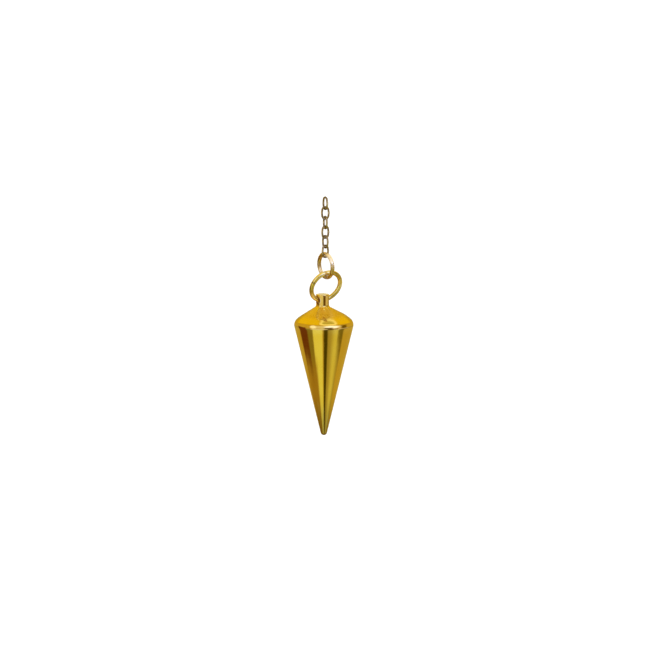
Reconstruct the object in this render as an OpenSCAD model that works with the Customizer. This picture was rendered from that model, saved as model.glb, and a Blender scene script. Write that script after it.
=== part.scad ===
// Pendulum pendant: a turned brass bob on two jump rings and a short length of cable chain.
// The part hangs below its origin, which is where a hook bears on the first link.
// X is to the right, Y is away from the viewer and Z is up.

/* [Bob] */
// Widest diameter of the bob
bob_d = 13.2; // [10:0.1:18]
// Height from the widest circle down to the tip
cone_h = 24.9; // [16:0.1:40]
// Radius of the rounded tip
tip_r = 0.73; // [0.3:0.01:1.2]
// Radius of the rounded rim
rim_r = 1.7; // [0.6:0.05:2]
// Slope of the shoulder below the horizontal, in degrees
shoulder_angle = 30; // [20:1:45]
// Radius of the soft bend between the shoulder and the rim
crown_r = 11; // [4:0.5:14]
// Turn of that bend, in degrees
crown_angle = 11; // [4:1:14]

/* [Neck and eye] */
// Diameter of the neck
neck_d = 2.9; // [2.4:0.1:4]
// How far the neck stands to the left of the bob's axis
neck_shift = 0.3; // [0:0.05:0.5]
// Bevel round the top of the neck
neck_bevel = 0.2; // [0.05:0.01:0.3]
// Metal between the eye and the top of the neck
eye_roof = 0.4; // [0.3:0.05:0.8]
// Metal between the eye and the shoulder
eye_floor = 0.55; // [0.4:0.05:1.2]
// Room between the ring's wire and the wall of the eye
eye_clear = 0.05; // [0.03:0.01:0.15]
// Bevel round each mouth of the eye
eye_bevel = 0.15; // [0.05:0.01:0.2]
// Height of the solder round the neck's foot
solder_h = 0.35; // [0.2:0.05:0.5]
// Width of the solder round the neck's foot
solder_w = 0.45; // [0.2:0.05:0.6]

/* [Large ring] */
// Outer diameter of the large ring
large_d = 8.1; // [7:0.1:10]
// Diameter of its wire
large_wire = 1; // [0.7:0.05:1.1]
// Turn about the vertical, in degrees from facing the viewer
large_turn = 30; // [20:1:45]
// Lean of its top towards the viewer, in degrees
large_lean = 24; // [0:1:30]

/* [Small ring] */
// Outer diameter of the small ring
small_d = 6.15; // [5.5:0.05:8]
// Diameter of its wire
small_wire = 0.9; // [0.6:0.05:0.9]
// Turn about the vertical, in degrees from facing the viewer
small_turn = -56; // [-70:1:-45]
// Lean of its top towards the viewer, in degrees
small_lean = 3; // [0:1:8]

/* [Chain] */
// Outer length of a link
link_l = 3.06; // [2.8:0.02:4]
// Outer width of a link
link_w = 1.9; // [1.86:0.02:2.6]
// Diameter of a link's wire
link_wire = 0.44; // [0.34:0.01:0.46]

/* [Fit] */
// Gap left between pieces that bear on each other
gap = 0.04; // [0.02:0.01:0.06]
// Width of the fine seam where a ring's wire closes
seam = 0.05; // [0.03:0.01:0.1]

/* [Hidden] */
$fn = 64;
gold = [0.83, 0.64, 0.18];
ring_gold = [0.78, 0.65, 0.3];
bronze = [0.47, 0.36, 0.2];
// Turn of each link about the vertical, from the top down
link_turns = [-56, 8, -63, 26, -45, 37];
// Where the large ring sits on the small one: degrees round each ring from its lowest or highest point
small_contact = 4;
large_contact = -12.5;
// Where each ring's seam lies, in degrees round the ring from its right side
small_seam_at = 12;
large_seam_at = 160;
// Steps in each rounded stretch of the bob's outline
arc_steps = 12;
// How far the solder's foot is sunk into the shoulder
solder_sunk = 0.05;

// Horizontal direction along a ring, and upward direction in its plane
function along(turn) = [cos(turn), sin(turn), 0];
function upward(turn, lean) = [sin(lean) * sin(turn), -sin(lean) * cos(turn), cos(lean)];
function unit(v) = v / norm(v);

// The chain hangs straight, with each link a gap clear of the next
link_pitch = link_l - 2 * link_wire - gap;
link_top = link_wire - link_l / 2;
function link_z(i) = link_top - (i - 1) * link_pitch;

// The small ring hangs on the last link
small_r = (small_d - small_wire) / 2;
small_top = link_z(len(link_turns)) + link_top + small_wire / 2 + gap;
small_up = upward(small_turn, small_lean);
small_at = [0, 0, small_top] - small_r * small_up;

// The large ring hangs on the small one, a little off its highest point
large_r = (large_d - large_wire) / 2;
large_up = upward(large_turn, large_lean);
small_low = small_at
    + small_r * (sin(small_contact) * along(small_turn) - cos(small_contact) * small_up);
small_tangent = cos(small_contact) * along(small_turn) + sin(small_contact) * small_up;
large_tangent = cos(large_contact) * along(large_turn) - sin(large_contact) * large_up;
large_high = small_low
    + (small_wire / 2 + large_wire / 2 + gap) * unit(cross(small_tangent, large_tangent));
large_at = large_high
    - large_r * (cos(large_contact) * large_up + sin(large_contact) * along(large_turn));

// The eye is on the large ring's lowest point, with room for the bend of its wire
neck_r = neck_d / 2;
wire_chord = sqrt(pow(large_r, 2) - pow(neck_r, 2));
eye_r = large_r - wire_chord + large_wire / 2 * large_r / wire_chord + eye_clear;
eye_at = large_at - large_r * large_up;

// Heights on the bob, from the middle of the eye
neck_top = eye_r + eye_roof;
neck_foot = -eye_r - eye_floor;
rim_x = bob_d / 2 - rim_r;
shoulder_normal = 90 - shoulder_angle;
crown_normal = shoulder_normal - crown_angle;
crown_x = rim_x - (crown_r - rim_r) * cos(crown_normal);
crown_drop = (crown_r - rim_r) * sin(crown_normal);
shoulder_end_x = crown_x + crown_r * cos(shoulder_normal);
rim_z = neck_foot - (shoulder_end_x - neck_r) * tan(shoulder_angle)
    - crown_r * sin(shoulder_normal) + crown_drop;
tip_z = rim_z - cone_h + tip_r;
apex_z = neck_foot + neck_r * tan(shoulder_angle);
cone_angle = atan(rim_x / (rim_z - tip_z)) + asin((rim_r - tip_r) / norm([rim_x, rim_z - tip_z]));

function arc(at, r, from, to) = [
    for (i = [0:arc_steps]) let (a = from + (to - from) * i / arc_steps) at + r * [cos(a), sin(a)]
];

// Tip, cone, rounded rim, crown and shoulder, turned round the bob's axis
module turned_body() {
    rotate_extrude()
        polygon(concat(
            arc([0, tip_z], tip_r, -90, -cone_angle),
            arc([rim_x, rim_z], rim_r, -cone_angle, crown_normal),
            arc([crown_x, rim_z - crown_drop], crown_r, crown_normal, shoulder_normal),
            [[0, apex_z]]
        ));
}

// Neck with its beveled top, rooted in the body, and the solder round its foot
module neck() {
    solder_z = neck_foot - (neck_shift + solder_w) * tan(shoulder_angle) - solder_sunk;
    rotate_extrude()
        polygon([
            [0, rim_z], [neck_r, rim_z], [neck_r, neck_top - neck_bevel],
            [neck_r - neck_bevel, neck_top], [0, neck_top]
        ]);
    translate([0, 0, solder_z])
        cylinder(h = neck_foot + solder_h - solder_z, r1 = neck_r + solder_w, r2 = neck_r);
}

// Bore across the neck, opened out at both mouths
module eye_bore() {
    mouth_l = 2 * eye_bevel;
    rotate([0, 0, large_turn]) rotate([0, 90, 0]) {
        cylinder(h = 2 * neck_d, r = eye_r, center = true);
        for (side = [0, 1])
            mirror([0, 0, side])
                translate([0, 0, neck_r - mouth_l])
                    cylinder(h = 2 * mouth_l, r1 = eye_r, r2 = eye_r + 2 * eye_bevel);
    }
}

module bob() {
    color(gold)
        translate(eye_at)
            difference() {
                union() {
                    translate([neck_shift, 0, 0]) turned_body();
                    neck();
                }
                eye_bore();
            }
}

// Round wire bent into a ring that closes in a fine seam
module jump_ring(at, r, wire, turn, lean, seam_at) {
    seam_angle = 2 * asin(seam / 2 / r);
    translate(at)
        rotate([lean, 0, turn])
            rotate([90, 0, 0])
                rotate([0, 0, seam_at + seam_angle / 2])
                    rotate_extrude(angle = 360 - seam_angle)
                        translate([r, 0]) circle(d = wire);
}

module large_ring() {
    color(ring_gold) jump_ring(large_at, large_r, large_wire, large_turn, large_lean, large_seam_at);
}

module small_ring() {
    color(ring_gold) jump_ring(small_at, small_r, small_wire, small_turn, small_lean, small_seam_at);
}

// Link of two straight sides and two half-round ends
module chain_link(i) {
    end_r = (link_w - link_wire) / 2;
    side_l = link_l - link_w;
    color(bronze)
        translate([0, 0, link_z(i)])
            rotate([90, 0, link_turns[i - 1]])
                for (half = [0, 1])
                    mirror([0, half, 0]) mirror([half, 0, 0]) {
                        translate([0, side_l / 2, 0])
                            rotate_extrude(angle = 180)
                                translate([end_r, 0]) circle(d = link_wire);
                        translate([end_r, -side_l / 2, 0])
                            rotate([-90, 0, 0]) cylinder(h = side_l, d = link_wire);
                    }
}

bob();
large_ring();
small_ring();
chain_link(1);  // link_1
chain_link(2);  // link_2
chain_link(3);  // link_3
chain_link(4);  // link_4
chain_link(5);  // link_5
chain_link(6);  // link_6
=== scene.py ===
"""Pendulum pendant: a turned brass bob on two jump rings and six links of cable chain.

Sizes are in millimetres up to the moment a mesh is finished, and in metres from there on.
X is to the right, Y is away from the viewer and Z is up, as in the CAD part.
"""

from math import asin, atan, cos, hypot, pi, radians, sin, sqrt, tan
from typing import NamedTuple

import bpy
import numpy as np
from mathutils import Matrix, Vector


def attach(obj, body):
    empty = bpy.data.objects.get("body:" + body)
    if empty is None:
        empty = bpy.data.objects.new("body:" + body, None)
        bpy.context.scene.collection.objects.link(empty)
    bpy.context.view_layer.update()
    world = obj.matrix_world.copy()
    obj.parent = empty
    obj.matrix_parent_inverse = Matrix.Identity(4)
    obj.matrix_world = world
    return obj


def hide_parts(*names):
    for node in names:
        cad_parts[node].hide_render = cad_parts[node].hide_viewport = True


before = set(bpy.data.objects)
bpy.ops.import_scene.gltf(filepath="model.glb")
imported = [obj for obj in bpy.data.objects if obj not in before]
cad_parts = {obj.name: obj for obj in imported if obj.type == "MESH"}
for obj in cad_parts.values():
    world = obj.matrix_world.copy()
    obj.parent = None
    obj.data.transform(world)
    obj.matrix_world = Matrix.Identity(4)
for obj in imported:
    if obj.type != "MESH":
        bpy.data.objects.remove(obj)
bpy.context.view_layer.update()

MM = 0.001
UP = np.array([0.0, 0.0, 1.0])

# Sizes that repeat the CAD part's
BOB_D, CONE_H, TIP_R, RIM_R = 13.2, 24.9, 0.73, 1.7
SHOULDER_ANGLE, CROWN_R, CROWN_ANGLE = radians(30), 11.0, radians(11)
NECK_D, NECK_SHIFT, NECK_BEVEL = 2.9, 0.3, 0.2
EYE_ROOF, EYE_FLOOR, EYE_CLEAR, EYE_BEVEL = 0.4, 0.55, 0.05, 0.15
LARGE_D, LARGE_WIRE, LARGE_TURN, LARGE_LEAN = 8.1, 1.0, radians(30), radians(24)
SMALL_D, SMALL_WIRE, SMALL_TURN, SMALL_LEAN = 6.15, 0.9, radians(-56), radians(3)
LINK_L, LINK_W, LINK_WIRE = 3.06, 1.9, 0.44
LINK_TURNS = [radians(turn) for turn in (-56, 8, -63, 26, -45, 37)]
GAP, SEAM = 0.04, 0.05
SMALL_CONTACT, LARGE_CONTACT = radians(4), radians(-12.5)
SMALL_SEAM_AT, LARGE_SEAM_AT = radians(12), radians(160)

# How finely the meshes are made
BOB_SIDES, EYE_SIDES, EYE_STEPS = 256, 96, 14
WIRE_SIDES, RING_STEPS, LINK_STEPS = 40, 320, 132
FLAG_STEPS = 24
SHARP_ANGLE = radians(38)

# Radius of the hollow in the solder round the neck's foot, and how uneven the solder is
SOLDER_R, SOLDER_UNEVENNESS = 0.6, 0.05
# How far from the neck's wall a run of solder starts to thin out
RUN_START = 0.15
# Runs of solder down the shoulder: the direction from the axis and the half width, both in degrees, then
# how far the solder ran and how high it stands
SOLDER_RUNS = [
    (-116, 9, 1.7, 0.10), (-81, 8, 1.4, 0.11), (-48, 8, 0.9, 0.08), (-8, 12, 1.1, 0.07),
    (38, 10, 0.8, 0.08), (92, 11, 1.3, 0.08), (150, 9, 1.0, 0.07), (-160, 10, 0.8, 0.08),
]

# Width of the rounded edge at each cut end of a ring's wire
SEAM_EDGE = 0.06
# How far a link's sides bow out and its shoulders draw in
LINK_BOW, LINK_DRAW_IN = 0.03, 0.07
# Half the length of the solder on a link, and how much it swells the wire
LINK_SOLDER_L, LINK_SOLDER_SWELL = 0.22, 0.07

# Waves round a circle that make hand work uneven: how many there are, where they start and their share
SOLDER_WAVES = [(2, 0.6, 0.5), (5, 2.1, 0.3), (9, 0.0, 0.2)]
RING_WAVES = [(2, 0.4, 1.0), (3, 1.9, 0.5), (7, 0.0, 0.25)]

# How strongly the places on the bob are marked, and how far up from the tip the painted shade on the cone
# fades out
EYE_GRIME, FOOT_GRIME, RIM_WEAR, TIP_SHADE = 0.9, 0.2, 0.5, 0.72
TIP_SHADE_H = 10.0
# How strongly the rings are marked at their seams and where they bear on a neighbour
SEAM_GRIME, CONTACT_WEAR = 0.8, 0.4
# How strongly the solder on a link is rubbed
LINK_SOLDER_WEAR = 0.7


def smooth(low, high, x):
    """0 up to low, 1 from high on, and an even curve between them."""
    t = np.clip((np.asarray(x, float) - low) / (high - low), 0.0, 1.0)
    return t * t * (3 - 2 * t)


def bell(off, half_width):
    """1 in the middle, falling off evenly to both sides."""
    return np.exp(-((off / half_width) ** 2))


def turned_from(turn, middle):
    """How far a direction is turned from another, from minus half a turn to half a turn."""
    return (turn - middle + pi) % (2 * pi) - pi


def ripple(turn, waves):
    """Height of some waves round a circle, at each direction."""
    return sum(share * np.sin(count * turn + start) for count, start, share in waves)


def along(turn):
    """Horizontal direction in the plane of a ring."""
    return np.array([cos(turn), sin(turn), 0.0])


def upward(turn, lean):
    """Upward direction in the plane of a ring."""
    return np.array([sin(lean) * sin(turn), -sin(lean) * cos(turn), cos(lean)])


# Where the links, rings and eye are, worked out as in the CAD part
LINK_TOP = LINK_WIRE - LINK_L / 2
LINK_PITCH = LINK_L - 2 * LINK_WIRE - GAP
SMALL_R, LARGE_R = (SMALL_D - SMALL_WIRE) / 2, (LARGE_D - LARGE_WIRE) / 2
SMALL_UP, LARGE_UP = upward(SMALL_TURN, SMALL_LEAN), upward(LARGE_TURN, LARGE_LEAN)


def link_z(i):
    """Height of the middle of link i, where the top link is 0."""
    return LINK_TOP - i * LINK_PITCH


small_top = link_z(len(LINK_TURNS) - 1) + LINK_TOP + SMALL_WIRE / 2 + GAP
SMALL_AT = small_top * UP - SMALL_R * SMALL_UP
small_low = SMALL_AT + SMALL_R * (
    sin(SMALL_CONTACT) * along(SMALL_TURN) - cos(SMALL_CONTACT) * SMALL_UP
)
small_tangent = cos(SMALL_CONTACT) * along(SMALL_TURN) + sin(SMALL_CONTACT) * SMALL_UP
large_tangent = cos(LARGE_CONTACT) * along(LARGE_TURN) - sin(LARGE_CONTACT) * LARGE_UP
apart = np.cross(small_tangent, large_tangent)
large_high = small_low + (SMALL_WIRE / 2 + LARGE_WIRE / 2 + GAP) * apart / np.linalg.norm(apart)
LARGE_AT = large_high - LARGE_R * (
    cos(LARGE_CONTACT) * LARGE_UP + sin(LARGE_CONTACT) * along(LARGE_TURN)
)
EYE_AT = LARGE_AT - LARGE_R * LARGE_UP

# The eye's bore lies level in the plane of the large ring, and its side is level too and square to it
BORE = along(LARGE_TURN)
BORE_SIDE = np.array([-sin(LARGE_TURN), cos(LARGE_TURN), 0.0])

# The bob's outline, with heights from the middle of the eye
NECK_R = NECK_D / 2
wire_chord = sqrt(LARGE_R**2 - NECK_R**2)
EYE_R = LARGE_R - wire_chord + LARGE_WIRE / 2 * LARGE_R / wire_chord + EYE_CLEAR
NECK_TOP, NECK_FOOT = EYE_R + EYE_ROOF, -EYE_R - EYE_FLOOR
RIM_X = BOB_D / 2 - RIM_R
SHOULDER_NORMAL = pi / 2 - SHOULDER_ANGLE
CROWN_NORMAL = SHOULDER_NORMAL - CROWN_ANGLE
CROWN_X = RIM_X - (CROWN_R - RIM_R) * cos(CROWN_NORMAL)
CROWN_DROP = (CROWN_R - RIM_R) * sin(CROWN_NORMAL)
SHOULDER_END = CROWN_X + CROWN_R * cos(SHOULDER_NORMAL)
RIM_Z = (
    NECK_FOOT
    - (SHOULDER_END - NECK_R) * tan(SHOULDER_ANGLE)
    - CROWN_R * sin(SHOULDER_NORMAL)
    + CROWN_DROP
)
TIP_Z = RIM_Z - CONE_H + TIP_R
CONE_ANGLE = atan(RIM_X / (RIM_Z - TIP_Z)) + asin((RIM_R - TIP_R) / hypot(RIM_X, RIM_Z - TIP_Z))


def shell(rows, closed=False):
    """A mesh through rows of points, each row a loop.

    It is capped with a point at each end, unless it is closed and its last row joins the first.
    """
    rows = np.asarray(rows, float)
    count, sides = rows.shape[:2]
    corners = np.arange(count * sides).reshape(count, sides)
    here = corners if closed else corners[:-1]
    there = np.roll(corners, -1, 0) if closed else corners[1:]
    quads = np.stack([here, np.roll(here, -1, 1), np.roll(there, -1, 1), there], -1)
    faces = quads.reshape(-1, 4).tolist()
    points = rows.reshape(-1, 3)
    if not closed:
        first, last = len(points), len(points) + 1
        points = np.vstack([points, rows[0].mean(0), rows[-1].mean(0)])
        start, end = corners[0], corners[-1]
        faces += [[first, b, a] for a, b in zip(start.tolist(), np.roll(start, -1).tolist())]
        faces += [[last, a, b] for a, b in zip(end.tolist(), np.roll(end, -1).tolist())]
    mesh = bpy.data.meshes.new("shell")
    mesh.from_pydata(points.tolist(), [], faces)
    mesh.validate()
    return mesh


def places(mesh):
    """The mesh's points as an array."""
    flat = np.empty(len(mesh.vertices) * 3, np.float32)
    mesh.vertices.foreach_get("co", flat)
    return flat.reshape(-1, 3).astype(float)


def mark(mesh, name, values):
    """Keeps a number from 0 to 1 on each point, which the material reads."""
    attribute = mesh.attributes.new(name, "FLOAT", "POINT")
    attribute.data.foreach_set("value", np.clip(values, 0, 1).astype(np.float32))


def put(name, data):
    """A new object in the scene."""
    made = bpy.data.objects.new(name, data)
    bpy.context.scene.collection.objects.link(made)
    return made


def piece(mesh, name, body, material):
    """Turns a finished mesh into the piece that stands for a CAD node and moves with its body."""
    mesh.transform(Matrix.Scale(MM, 4))
    mesh.shade_smooth()
    mesh.set_sharp_from_angle(angle=SHARP_ANGLE)
    mesh.materials.append(material)
    made = put(name + "_finished", mesh)
    mesh.name = made.name
    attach(made, body)
    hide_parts(name)


def arc(at, r, start, end, steps):
    """Points on an arc of the outline, each as distance from the axis and height."""
    return [(at[0] + r * cos(a), at[1] + r * sin(a)) for a in np.linspace(start, end, steps)]


def stretch(start, end, steps):
    """Points between two places on the outline, without the two ends."""
    return [tuple(p) for p in np.linspace(start, end, steps + 2)[1:-1]]


def bob_outline():
    """The outline from the tip to the top of the neck: body, shoulder, solder and neck."""
    tip = arc((0, TIP_Z), TIP_R, radians(-88), -CONE_ANGLE, steps=18)
    rim = arc((RIM_X, RIM_Z), RIM_R, -CONE_ANGLE, CROWN_NORMAL, steps=34)
    crown_at = (CROWN_X, RIM_Z - CROWN_DROP)
    crown = arc(crown_at, CROWN_R, CROWN_NORMAL, SHOULDER_NORMAL, steps=12)[1:]
    shoulder_foot = NECK_R + SOLDER_R * (1 - cos(SHOULDER_NORMAL))
    shoulder_z = NECK_FOOT - (shoulder_foot - NECK_R) * tan(SHOULDER_ANGLE)
    solder_at = (NECK_R + SOLDER_R, shoulder_z + SOLDER_R * sin(SHOULDER_NORMAL))
    solder = arc(solder_at, SOLDER_R, pi + SHOULDER_NORMAL, pi, steps=14)
    bevel_at = (NECK_R - NECK_BEVEL, NECK_TOP - NECK_BEVEL)
    bevel = arc(bevel_at, NECK_BEVEL, 0, radians(90), steps=8)
    body = tip + stretch(tip[-1], rim[0], steps=60) + rim + crown
    shoulder = stretch(crown[-1], solder[0], steps=30)
    wall = stretch(solder[-1], bevel[0], steps=42)
    top = stretch(bevel[-1], (0.05, NECK_TOP), steps=6)
    return body, shoulder, solder, wall + bevel + top


def solder_run(turn, past_neck):
    """How high the solder stands on the shoulder, at each direction and distance from the neck's wall."""
    height = 0.0
    for at, half_width, reach, high in SOLDER_RUNS:
        off = turned_from(turn, radians(at))
        height = height + high * bell(off, radians(half_width)) * smooth(reach, RUN_START, past_neck)
    return height


def bob_rows():
    """Circles up the bob, as rows of points.

    On the shoulder they drift from the bob's axis to the neck's, and the solder at its foot is uneven.
    """
    body, shoulder, solder, neck = bob_outline()
    turn = np.linspace(0, 2 * pi, BOB_SIDES, endpoint=False)
    wave = ripple(turn, SOLDER_WAVES)

    def circle(r, z, axis=0.0):
        return np.stack([axis + r * np.cos(turn), r * np.sin(turn), z + np.zeros_like(turn)], -1)

    rows = [circle(r, z, NECK_SHIFT) for r, z in body]
    for k, (r, z) in enumerate(shoulder):
        share = (k + 1) / (len(shoulder) + 1)
        rows.append(circle(r, z + solder_run(turn, r - NECK_R), NECK_SHIFT * (1 - share)))
    for k, (r, z) in enumerate(solder):
        share = k / (len(solder) - 1)
        swell = SOLDER_UNEVENNESS * sin(pi * share) * wave
        rows.append(circle(r + swell, z + (1 - share) * solder_run(turn, r - NECK_R)))
    return rows + [circle(r, z) for r, z in neck]


def eye_rows():
    """Circles along the bore that cuts the eye, opened out with a soft bend at both mouths."""
    mouth_l = 2 * EYE_BEVEL
    opening, bend = 0.25, 0.1
    start, end = NECK_R - 1.4 * mouth_l, 1.2 * NECK_R + mouth_l
    turn = np.linspace(0, 2 * pi, EYE_SIDES, endpoint=False)
    rows = []
    ends = [np.linspace(-end, -start, EYE_STEPS), np.linspace(start, end, EYE_STEPS)]
    for place in np.concatenate(ends):
        past = abs(place) - (NECK_R - mouth_l)
        r = EYE_R + opening * (past + hypot(past, bend))
        rows.append(place * BORE + np.outer(r * np.cos(turn), BORE_SIDE) + np.outer(r * np.sin(turn), UP))
    return rows


def cut(mesh, cutter):
    """The mesh with the cutter's form taken out of it."""
    solid, tool = (put(m.name, m) for m in (mesh, cutter))
    taken = solid.modifiers.new("eye", "BOOLEAN")
    taken.operation, taken.solver, taken.object = "DIFFERENCE", "EXACT", tool
    bpy.context.view_layer.update()
    result = bpy.data.meshes.new_from_object(solid.evaluated_get(bpy.context.evaluated_depsgraph_get()))
    for made in (solid, tool):
        bpy.data.objects.remove(made)
    return result


def mark_bob(mesh):
    """Marks the grimy eye, the satin shoulder, the rubbed edges and solder, and the painted shade that
    darkens the cone towards its tip.

    Where a mark starts and ends is in millimetres, as all sizes here are.
    """
    at = places(mesh)
    height = at[:, 2]
    from_axis = np.hypot(at[:, 0] - NECK_SHIFT, at[:, 1])
    from_neck = np.hypot(at[:, 0], at[:, 1])
    from_bore = np.hypot(at @ BORE_SIDE, height)

    in_eye = (from_bore < EYE_R + 0.02) * smooth(NECK_R + 0.05, NECK_R - 0.25, np.abs(at @ BORE))
    foot = (from_neck < NECK_R + 0.45) * smooth(0.5, 0.0, np.abs(height - NECK_FOOT - 0.05))
    mark(mesh, "grime_and_shade", EYE_GRIME * in_eye + FOOT_GRIME * foot)

    run_height = solder_run(np.arctan2(at[:, 1], at[:, 0]), from_neck - NECK_R)
    runs = (height < NECK_FOOT + 0.4) * smooth(0.02, 0.07, run_height)
    above_rim = smooth(RIM_Z + 1.0, RIM_Z + 3.2, height)
    below_neck = smooth(NECK_FOOT + 0.3, NECK_FOOT, height)
    mark(mesh, "satin", above_rim * below_neck * (1 - 0.8 * runs))

    rim = smooth(0.35, 0.0, BOB_D / 2 - from_axis)
    near_top = smooth(NECK_TOP - 2 * NECK_BEVEL, NECK_TOP, height)
    top_edge = near_top * smooth(NECK_R - 0.5, NECK_R - 0.1, from_neck)
    mouth = smooth(EYE_R + 0.25, EYE_R + 0.05, from_bore) * (from_neck > NECK_R - 0.02)
    mark(mesh, "wear_and_highlight", RIM_WEAR * rim + top_edge + mouth + runs)

    # Painted shade: the cone is painted darker towards its tip.
    mark(mesh, "tarnish", TIP_SHADE * smooth(TIP_Z + TIP_SHADE_H, TIP_Z - TIP_R, height))


def make_bob(material):
    """The turned bob with its soldered neck, which the eye is bored through."""
    mesh = cut(shell(bob_rows()), shell(eye_rows()))
    mark_bob(mesh)
    mesh.transform(Matrix.Translation(EYE_AT))
    piece(mesh, "bob", "bob", material)


def wire_rows(line, tangents, outward, radii):
    """Circles round each point of a line, each square to the line there and of its own radius."""
    turn = np.linspace(0, 2 * pi, WIRE_SIDES, endpoint=False)
    rows = []
    for at, tangent, out, radius in zip(line, tangents, outward, radii):
        across = np.cross(tangent, out)
        rows.append(at + radius * (np.outer(np.cos(turn), out) + np.outer(np.sin(turn), across)))
    return rows


class Ring(NamedTuple):
    """A jump ring: its middle, the radius of its wire's middle line, and the wire's thickness.

    Then its turn and lean, the angle of its seam and how unevenly it is bent.
    """

    at: np.ndarray
    r: float
    wire: float
    turn: float
    lean: float
    seam_at: float
    unevenness: float


def ring_mesh(ring):
    """Round wire whose two cut ends meet at the seam, a little uneven as bent by hand."""
    a, u = along(ring.turn), upward(ring.turn, ring.lean)
    half_seam = asin(SEAM / 2 / ring.r)
    sweep = 2 * pi - 2 * half_seam
    edge = np.array([0.0, 0.25, 0.6, 1.0]) * SEAM_EDGE / ring.r
    turns = np.concatenate([edge, np.linspace(0, sweep, RING_STEPS)[2:-2], sweep - edge[::-1]])
    from_end = np.minimum(turns, sweep - turns) * ring.r / SEAM_EDGE
    rounding = 1 - np.sqrt(1 - (1 - np.clip(from_end, 0, 1)) ** 2)
    radii = ring.wire / 2 - 0.5 * SEAM_EDGE * rounding
    phi = ring.seam_at + half_seam + turns
    sway = ring.unevenness * ripple(phi, RING_WAVES)
    radial = np.outer(np.cos(phi), a) + np.outer(np.sin(phi), u)
    tangents = np.outer(-np.sin(phi), a) + np.outer(np.cos(phi), u)
    line = ring.at + (ring.r + sway)[:, None] * radial
    return shell(wire_rows(line, tangents, radial, radii))


def mark_ring(mesh, ring, worn_at, tarnish, bright):
    """Marks the grimy seam, the darker stretches, the painted highlights, and where a neighbour bears on the
    inside.

    worn_at has the angles of the contacts, in radians round the ring. Each darker stretch and each painted
    highlight has its middle and half width, in radians too, and its strength.
    """
    at = places(mesh) - ring.at
    x, y = at @ along(ring.turn), at @ upward(ring.turn, ring.lean)
    around = np.arctan2(y, x)
    # The first sum darkens stretches of the ring. The second gives the painted highlights, pale patches that
    # stand in for highlights.
    darkened, light = (
        sum(share * bell(turned_from(around, middle), half) for middle, half, share in stretches)
        for stretches in (tarnish, bright)
    )
    off_seam = np.abs(turned_from(around, ring.seam_at)) * ring.r
    # Real grime at the seam, plus the stretches made darker.
    mark(mesh, "grime_and_shade", SEAM_GRIME * smooth(0.3, 0.03, off_seam) + darkened)
    contact = sum(smooth(1.2, 0.2, np.abs(turned_from(around, spot)) * ring.r) for spot in worn_at)
    inner = smooth(0.1, -0.3, np.hypot(y, x) - ring.r)
    # Real wear where a neighbour bears on the inside, plus the painted highlights.
    mark(mesh, "wear_and_highlight", CONTACT_WEAR * contact * inner + light)


def make_ring(name, body, material, ring, **marks):
    """A jump ring, and the marks on it as mark_ring takes them."""
    mesh = ring_mesh(ring)
    mark_ring(mesh, ring, **marks)
    piece(mesh, name, body, material)


def link_line():
    """The middle line of a link's wire as points and tangents, with bowed sides and drawn-in shoulders."""
    end_r, side = (LINK_W - LINK_WIRE) / 2, LINK_L - LINK_W
    quarter = pi / 2 * end_r
    total = 4 * quarter + 2 * side
    line = []
    for s in np.linspace(0, total, LINK_STEPS, endpoint=False):
        half, s = divmod(s, total / 2)
        if s < side / 2:
            place = np.array([end_r, s])
        elif s < side / 2 + 2 * quarter:
            angle = (s - side / 2) / end_r
            place = np.array([end_r * cos(angle), side / 2 + end_r * sin(angle)])
        else:
            place = np.array([-end_r, side / 2 - (s - side / 2 - 2 * quarter)])
        line.append(-place if half else place)
    line = np.array(line)
    height = np.abs(line[:, 1]) / (LINK_L / 2)
    line[:, 0] *= 1 + (LINK_BOW * (1 - height**2) - LINK_DRAW_IN * np.sin(pi * height) ** 2) / end_r
    tangents = np.roll(line, -1, 0) - np.roll(line, 1, 0)
    tangents /= np.linalg.norm(tangents, axis=1)[:, None]
    return line, tangents


def make_link(i, material):
    """Link i of the chain, soldered shut on one side.

    It is rubbed where its neighbours bear on it and along its solder. It has a painted highlight on the
    outside of both sides, and painted shade on the outer side of both ends, where the links cross.
    """
    line, tangents = link_line()
    a = along(LINK_TURNS[i])
    solder_side = 1 if i % 2 else -1
    solder = bell(line[:, 1], LINK_SOLDER_L) * (line[:, 0] * solder_side > 0)
    radii = LINK_WIRE / 2 * (1 + LINK_SOLDER_SWELL * solder)
    spread = np.outer(line[:, 0], a) + np.outer(line[:, 1], UP)
    forward = np.outer(tangents[:, 0], a) + np.outer(tangents[:, 1], UP)
    outward = np.outer(tangents[:, 1], a) - np.outer(tangents[:, 0], UP)
    mesh = shell(wire_rows(spread, forward, outward, radii), closed=True)

    at = places(mesh)
    x, height = at @ a, np.abs(at[:, 2])
    end = smooth(0.25 * LINK_L, 0.42 * LINK_L, height)
    inner = smooth(LINK_L / 2 - 0.1, LINK_L / 2 - 0.5, np.hypot(x, height))
    joint = smooth(0.35, 0.1, height) * (x * solder_side > 0)
    # Painted highlight: the outside of both sides is painted pale.
    outside = smooth(LINK_W / 2 - 0.2, LINK_W / 2 - 0.05, np.abs(x))
    side = outside * smooth(0.3 * LINK_L, 0.12 * LINK_L, height)
    # Real wear at the contacts and the solder, plus the painted highlight on the sides.
    mark(mesh, "wear_and_highlight", end * inner + LINK_SOLDER_WEAR * joint + side)
    # Painted shade: the outer side of both ends is painted dark where the links cross.
    mark(mesh, "grime_and_shade", smooth(0.34 * LINK_L, 0.44 * LINK_L, height) * (1 - inner))
    mesh.transform(Matrix.Translation((0, 0, link_z(i))))
    piece(mesh, f"link_{i + 1}", "root", material)


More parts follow.
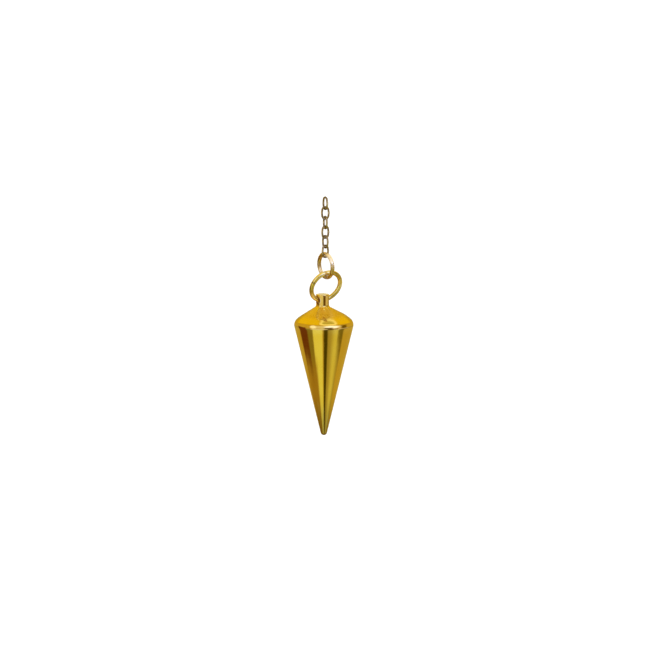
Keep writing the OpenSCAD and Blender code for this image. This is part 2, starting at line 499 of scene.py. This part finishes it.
class Nodes:
    """Short calls to add nodes to a tree and join them. An input may be a socket or a plain value."""

    def __init__(self, tree):
        self.tree = tree
        tree.nodes.clear()

    def add(self, kind, inputs=(), **settings):
        node = self.tree.nodes.new(kind)
        for name, value in settings.items():
            setattr(node, name, value)
        for name, value in dict(inputs).items():
            if isinstance(value, bpy.types.NodeSocket):
                self.tree.links.new(value, node.inputs[name])
            else:
                node.inputs[name].default_value = value
        return node

    def math(self, operation, a, b=0.0):
        return self.add("ShaderNodeMath", {0: a, 1: b}, operation=operation).outputs[0]

    def span(self, value, low, high, to_low=0.0, to_high=1.0):
        inputs = {"Value": value, "From Min": low, "From Max": high, "To Min": to_low, "To Max": to_high}
        node = self.add("ShaderNodeMapRange", inputs, interpolation_type="SMOOTHSTEP")
        return node.outputs["Result"]

    def mix(self, share, a, b, label=""):
        node = self.add("ShaderNodeMix", {0: share, 6: a, 7: b}, data_type="RGBA", label=label)
        return node.outputs[2]

    def noise(self, vector, scale, detail, roughness=0.5):
        inputs = {"Vector": vector, "Scale": scale, "Detail": detail, "Roughness": roughness}
        return self.add("ShaderNodeTexNoise", inputs).outputs["Fac"]

    def stretched(self, vector, scale, turn=(0, 0, 0)):
        inputs = {"Vector": vector, "Scale": scale, "Rotation": turn}
        return self.add("ShaderNodeMapping", inputs).outputs[0]

    def mark(self, name):
        return self.add("ShaderNodeAttribute", attribute_name=name).outputs["Fac"]


def new_material(name):
    """A new material, and calls for its empty node tree."""
    made = bpy.data.materials.new(name)
    made.use_nodes = True
    return made, Nodes(made.node_tree)


# Colour of the painted shade that darkens the bob's cone low down, towards the tip
TIP_SHADE_COLOUR = (0.32, 0.24, 0.085)
# Height in mm of the polishing lines' relief, and its strength
LINE_H, LINE_STRENGTH = 0.002, 0.35
# How metallic the cleanest places are, and the grimiest places and those with the most painted shade
CLEAN_METAL, GRIMY_AND_SHADED_METAL = 1.0, 0.35


def metal(name, base, warm, pale, dull, rough, lines, wave, matt=0.0):
    """A plated metal with drifting colour, smudges, polishing lines and scratches.

    The marks on the mesh say where it is worn and pale, where a highlight is painted pale, where it is grimy
    and dull, where shade is painted dark, where it is satin, and where painted shade darkens it towards the
    tip. lines scales the polishing lines along X, Y and Z, wave is the height in mm of the hand-polished
    waves, and matt is how much of its metallic shine a worn place or a painted highlight loses. The noise
    has its scale per mm.
    """
    made, n = new_material(name)
    at = n.stretched(n.add("ShaderNodeTexCoord").outputs["Object"], (1 / MM,) * 3)
    drift = n.span(n.noise(at, scale=0.35, detail=2.0), 0.35, 0.65)
    smudge = n.span(n.noise(at, scale=0.9, detail=5.0, roughness=0.65), 0.4, 0.7)
    polished = n.noise(n.stretched(at, lines), scale=1.0, detail=3.0, roughness=0.6)
    drawn_out = n.stretched(at, (0.7, 9.0, 0.9), turn=(0.5, 0.3, 0.9))
    scratch = n.span(n.noise(drawn_out, scale=1.3, detail=2.0), 0.66, 0.72)
    satin, tarnish = n.mark("satin"), n.mark("tarnish")
    worn_and_highlit = n.math("MULTIPLY", n.mark("wear_and_highlight"), n.span(smudge, 0.0, 1.0, 0.9, 0.5))
    dirt_and_shade = n.math("MULTIPLY", n.mark("grime_and_shade"), n.span(smudge, 0.0, 1.0, 0.6, 1.0))

    colour = n.mix(drift, (*base, 1), (*warm, 1))
    # Pale lays real wear and painted highlights over the colour, dull lays grime and painted shade, and the
    # tip shade colour lays the painted shade low on the bob's cone.
    for share, over in ((worn_and_highlit, pale), (dirt_and_shade, dull), (tarnish, TIP_SHADE_COLOUR)):
        colour = n.mix(share, colour, (*over, 1))

    rises = [
        (smudge, 0.05),
        (n.span(polished, 0.4, 0.7), 0.05),
        (scratch, 0.12),
        (dirt_and_shade, 0.22),
        (satin, 0.23),
        (tarnish, 0.14),
    ]
    roughness = rough
    for share, rise in rises:
        roughness = n.math("ADD", roughness, n.math("MULTIPLY", share, rise))

    clean = n.span(dirt_and_shade, 0.4, 0.9, CLEAN_METAL, GRIMY_AND_SHADED_METAL)
    metallic = n.math("SUBTRACT", clean, n.math("MULTIPLY", worn_and_highlit, matt))

    swell = n.noise(at, scale=0.55, detail=1.0)
    waves = n.add("ShaderNodeBump", {"Strength": 1.0, "Distance": wave * MM, "Height": swell}).outputs[0]
    relief = {"Strength": LINE_STRENGTH, "Distance": LINE_H * MM, "Height": polished, "Normal": waves}
    normal = n.add("ShaderNodeBump", relief).outputs[0]
    inputs = {"Base Color": colour, "Metallic": metallic, "Roughness": roughness, "Normal": normal}
    shader = n.add("ShaderNodeBsdfPrincipled", inputs)
    n.add("ShaderNodeOutputMaterial", {"Surface": shader.outputs[0]})
    return made


# How far the viewer looks down on the pendant
VIEW_DOWN = radians(9)

# Brightness of the plain white surround, and what the metal mirrors where no box or flag is
SURROUND = 1.2
BARE_ROOM = (0.5, 0.4, 0.1)

# The lit room, as the metal shows it to the viewer. Each soft box or flag is placed by the face of metal
# that mirrors it: how far that face is turned from the viewer, to the right, and how far it is tilted up,
# both in degrees. Then come its shape, the softness of its edges and its colour. Later ones lie over earlier
# ones.
ROOM = [
    ("floor side", (-180, 180), (-90, -20), "box", 10, (0.34, 0.23, 0.05)),
    ("low side", (-180, 180), (-24, 2), "box", 5, (0.54, 0.42, 0.09)),
    ("low left wall", (-42, -22), (-24, 0), "box", 5, (0.24, 0.21, 0.04)),
    ("low left box", (-22.5, -3), (-24, 6), "box", 3.5, (0.80, 0.83, 0.30)),
    ("low right box", (5, 40), (-24, 6), "box", 7, (0.40, 0.35, 0.11)),
    ("low right glow", (18, 33), (-26, 6), "box", 14, (0.68, 0.67, 0.24)),
    ("low flag", (-0.5, 8), (-24, -3), "box", 4, (0.07, 0.06, 0.00)),
    ("eye level", (-180, 180), (-3, 5), "box", 4, (0.42, 0.34, 0.12)),
    ("eye left box", (-25, 4), (-4, 5), "box", 7, (0.78, 0.77, 0.75)),
    ("eye right box", (19, 36), (-4, 4), "box", 9, (0.72, 0.68, 0.75)),
    ("upper side", (-180, 180), (4, 34), "box", 4, (0.58, 0.41, 0.05)),
    ("front strip", (-27, 42), (5, 28), "oval", 5, (0.78, 0.73, 0.57)),
    ("left end of the strip", (-28, -15), (5, 27), "oval", 4, (1.15, 1.20, 1.40)),
    ("hot part of the strip", (1, 30), (7, 26), "oval", 6, (1.30, 1.45, 2.50)),
    ("eye flag", (1, 17.5), (-6, 12), "box", 7, (0.13, 0.10, 0.03)),
    ("right flag", (36.5, 50), (-4, 24), "box", 8, (0.16, 0.10, 0.00)),
    ("left of the upright band", (-25, 7), (-2, 2), "box", 4, (0.78, 0.77, 0.75)),
    ("middle of the upright band", (13.5, 29), (-2, 2), "box", 4, (0.13, 0.06, 0.00)),
    ("right of the upright band", (35, 53), (-1.5, 1.5), "box", 3, (0.72, 0.65, 0.62)),
    ("overhead", (-180, 180), (32, 90), "box", 5, (0.66, 0.46, 0.01)),
    ("left overhead box", (-66, -10), (33, 58), "box", 9, (0.88, 0.67, 0.01)),
    ("right overhead box", (22, 66), (33, 58), "box", 9, (0.88, 0.67, 0.01)),
    ("far left overhead", (-180, -80), (34, 90), "box", 24, (0.42, 0.33, 0.07)),
    ("far right overhead", (80, 180), (34, 90), "box", 24, (0.44, 0.34, 0.08)),
    ("ceiling", (-180, 180), (76, 91), "box", 8, (0.86, 0.84, 0.62)),
    ("lamp", (-9, 28), (30, 56.4), "rounded", 3, (1.12, 1.09, 0.82)),
    ("middle of the lamp", (-4, 23), (38.5, 52.6), "rounded", 2.6, (0.58, 0.54, 0.18)),
]
# How square the shapes with round corners are: 2 is an ellipse
SQUARENESS = {"oval": 2.0, "rounded": 3.0}


def lay_over(n, turn, tilt, under, light):
    """Lays one soft box or flag over the colour of what is under it."""
    name, (left, right), (low, high), shape, soft, colour = light
    half_w, half_h = (right - left) / 2, (high - low) / 2
    x = n.math("ABSOLUTE", n.math("SUBTRACT", turn, (left + right) / 2))
    y = n.math("ABSOLUTE", n.math("SUBTRACT", tilt, (low + high) / 2))
    if shape == "box":
        past = n.math("MAXIMUM", n.math("SUBTRACT", x, half_w), n.math("SUBTRACT", y, half_h))
    else:
        power = SQUARENESS[shape]
        across = n.math("POWER", n.math("DIVIDE", x, half_w), power)
        up = n.math("POWER", n.math("DIVIDE", y, half_h), power)
        reach = n.math("POWER", n.math("ADD", across, up), 1 / power)
        past = n.math("MULTIPLY", n.math("SUBTRACT", reach, 1.0), min(half_w, half_h))
    return n.mix(n.span(past, soft / 2, -soft / 2), under, (*colour, 1), label=name)


def light_the_room():
    """A plain white surround, with the soft boxes and flags that only the polished metal mirrors."""
    world = bpy.data.worlds.new("studio")
    world.use_nodes = True
    bpy.context.scene.world = world
    n = Nodes(world.node_tree)
    way = n.add("ShaderNodeTexCoord").outputs["Generated"]
    viewer = (0, -cos(VIEW_DOWN), sin(VIEW_DOWN))
    between = n.add("ShaderNodeVectorMath", {0: way, 1: viewer}, operation="ADD").outputs[0]
    face = n.add("ShaderNodeVectorMath", {0: between}, operation="NORMALIZE").outputs[0]
    x, y, z = n.add("ShaderNodeSeparateXYZ", {0: face}).outputs
    turn = n.math("DEGREES", n.math("ARCTAN2", x, n.math("MULTIPLY", y, -1.0)))
    tilt = n.math("DEGREES", n.math("ARCSINE", z))
    colour = (*BARE_ROOM, 1)
    for light in ROOM:
        colour = lay_over(n, turn, tilt, colour, light)
    boxes = n.add("ShaderNodeBackground", {"Color": colour, "Strength": 1.0})
    plain = n.add("ShaderNodeBackground", {"Color": (1, 1, 1, 1), "Strength": SURROUND})
    mirrored = n.add("ShaderNodeLightPath").outputs["Is Glossy Ray"]
    both = n.add("ShaderNodeMixShader", {0: mirrored, 1: plain.outputs[0], 2: boxes.outputs[0]})
    n.add("ShaderNodeOutputWorld", {"Surface": both.outputs[0]})


def flag_mesh(name, distance, ways, tops, bottoms, soft):
    """A curved sheet as a grid of points, which marks how solid it is at each of them."""
    points, solid = [], []
    for i in range(FLAG_STEPS + 1):
        u = i / FLAG_STEPS
        turn, top, bottom = (start + (end - start) * u for start, end in (ways, tops, bottoms))
        turn = radians(turn)
        for j in range(FLAG_STEPS + 1):
            v = j / FLAG_STEPS
            z = top + (bottom - top) * v
            points.append((distance * sin(turn) * MM, -distance * cos(turn) * MM, z * MM))
            solid.append(min(u, 1 - u, v, 1 - v) / soft)
    row = FLAG_STEPS + 1
    starts = [i * row + j for i in range(FLAG_STEPS) for j in range(FLAG_STEPS)]
    mesh = bpy.data.meshes.new(name)
    mesh.from_pydata(points, [], [(a, a + 1, a + row + 1, a + row) for a in starts])
    mark(mesh, "solid", np.array(solid))
    mesh.shade_smooth()
    return mesh


def hang_flag(name, colour, distance, ways, tops, bottoms, soft):
    """A curved flag or card close to the pendant, seen only in the metal, with slanting, soft edges.

    ways are the directions of its two ends, in degrees, and tops and bottoms are its heights there. soft
    is how much of its width and height fades out at its edges.
    """
    flag = put(name, flag_mesh(name, distance, ways, tops, bottoms, soft))
    cloth, n = new_material(name)
    glow = n.add("ShaderNodeEmission", {"Color": (*colour, 1), "Strength": 1.0})
    clear = n.add("ShaderNodeBsdfTransparent")
    share = n.span(n.mark("solid"), 0.0, 1.0)
    both = n.add("ShaderNodeMixShader", {0: share, 1: clear.outputs[0], 2: glow.outputs[0]})
    n.add("ShaderNodeOutputMaterial", {"Surface": both.outputs[0]})
    flag.data.materials.append(cloth)
    flag.visible_camera = flag.visible_diffuse = flag.visible_shadow = flag.visible_transmission = False


def lay_floor():
    """A plain pale floor well below the pendant. The metal mirrors the lit room, not the floor."""
    reach, height = 8.0, -0.45
    corners = [(x * reach, y * reach, height) for x, y in ((-1, -1), (1, -1), (1, 1), (-1, 1))]
    mesh = bpy.data.meshes.new("floor")
    mesh.from_pydata(corners, [], [(0, 1, 2, 3)])
    floor = put("floor", mesh)
    paint, n = new_material("pale_floor")
    cloud = n.noise(n.add("ShaderNodeTexCoord").outputs["Object"], scale=1.5, detail=3.0)
    tint = n.mix(cloud, (0.93, 0.93, 0.93, 1), (0.96, 0.96, 0.96, 1))
    inputs = {"Base Color": tint, "Roughness": 0.9, "Specular IOR Level": 0.0}
    shader = n.add("ShaderNodeBsdfPrincipled", inputs)
    n.add("ShaderNodeOutputMaterial", {"Surface": shader.outputs[0]})
    mesh.materials.append(paint)
    floor.visible_glossy = False


def set_camera():
    """Looks a little down on the pendant from the front, from far off."""
    aim = Vector((-0.29, 2.8, -28.5)) * MM
    distance = 1.0
    back = Vector((0, -cos(VIEW_DOWN), sin(VIEW_DOWN)))
    lens = bpy.data.cameras.new("camera")
    lens.lens, lens.sensor_width, lens.clip_start = 250, 36, 0.01
    camera = put("camera", lens)
    camera.location = aim + distance * back
    camera.rotation_mode = "QUATERNION"
    camera.rotation_quaternion = (-back).to_track_quat("-Z", "Y")
    bpy.context.scene.camera = camera


gold = metal(
    "bob_gold",
    base=(0.90, 0.63, 0.14),
    warm=(0.89, 0.61, 0.12),
    pale=(0.96, 0.78, 0.40),
    dull=(0.80, 0.52, 0.14),
    rough=0.05,
    lines=(0.12, 0.12, 4.0),
    wave=0.006,
)
yellow_gold = metal(
    "large_ring_gold",
    base=(0.93, 0.75, 0.28),
    warm=(0.90, 0.70, 0.21),
    pale=(0.97, 0.84, 0.50),
    dull=(0.16, 0.11, 0.03),
    rough=0.14,
    lines=(1.2, 1.2, 1.2),
    wave=0.012,
    matt=0.15,
)
rose_gold = metal(
    "small_ring_gold",
    base=(0.90, 0.69, 0.31),
    warm=(0.88, 0.63, 0.25),
    pale=(0.98, 0.85, 0.70),
    dull=(0.27, 0.14, 0.035),
    rough=0.14,
    lines=(1.2, 1.2, 1.2),
    wave=0.012,
    matt=0.6,
)
bronze = metal(
    "chain_wire_bronze",
    base=(0.39, 0.28, 0.14),
    warm=(0.31, 0.21, 0.095),
    pale=(0.90, 0.77, 0.52),
    dull=(0.12, 0.08, 0.04),
    rough=0.15,
    lines=(2.5, 2.5, 2.5),
    wave=0.010,
)

make_bob(gold)
make_ring(
    "large_ring", "large_ring", yellow_gold,
    Ring(LARGE_AT, LARGE_R, LARGE_WIRE, LARGE_TURN, LARGE_LEAN, LARGE_SEAM_AT, unevenness=0.012),
    worn_at=(radians(-90), radians(90) + LARGE_CONTACT),
    # Stretches of the ring made darker and duller.
    tarnish=((radians(190), 0.4, 0.35), (radians(45), 0.3, 0.4), (radians(-45), 0.35, 0.3)),
    # Painted highlights: pale patches that stand in for highlights.
    bright=((radians(112), 0.35, 1.0), (radians(5), 0.4, 0.9), (radians(218), 0.3, 0.7)),
)
make_ring(
    "small_ring", "root", rose_gold,
    Ring(SMALL_AT, SMALL_R, SMALL_WIRE, SMALL_TURN, SMALL_LEAN, SMALL_SEAM_AT, unevenness=0.008),
    worn_at=(radians(90), radians(-90) + SMALL_CONTACT),
    # Stretches of the ring made darker and duller.
    tarnish=(
        (radians(172), 0.55, 0.75), (radians(106), 0.3, 0.5),
        (radians(-80), 0.5, 0.9), (radians(-14), 0.25, 0.5),
    ),
    # Painted highlights: pale patches that stand in for highlights.
    bright=((radians(50), 0.5, 1.0), (radians(24), 0.4, 0.6), (radians(218), 0.3, 1.0)),
)
for i in range(len(LINK_TURNS)):
    make_link(i, bronze)

light_the_room()
hang_flag(
    "red_flag", (0.15, 0.045, 0.010), distance=80.0, ways=(-70, -118), tops=(-20, -20),
    bottoms=(-92, -76), soft=0.18,
)
hang_flag(
    "brown_card", (0.37, 0.24, 0.04), distance=86.0, ways=(-32, -150), tops=(-95, -60),
    bottoms=(-140, -140), soft=0.18,
)
hang_flag(
    "dark_flag", (0.20, 0.16, 0.02), distance=80.0, ways=(60, 93), tops=(-46, -46),
    bottoms=(-84, -84), soft=0.24,
)
lay_floor()
set_camera()
bpy.context.scene.view_settings.view_transform = "Standard"
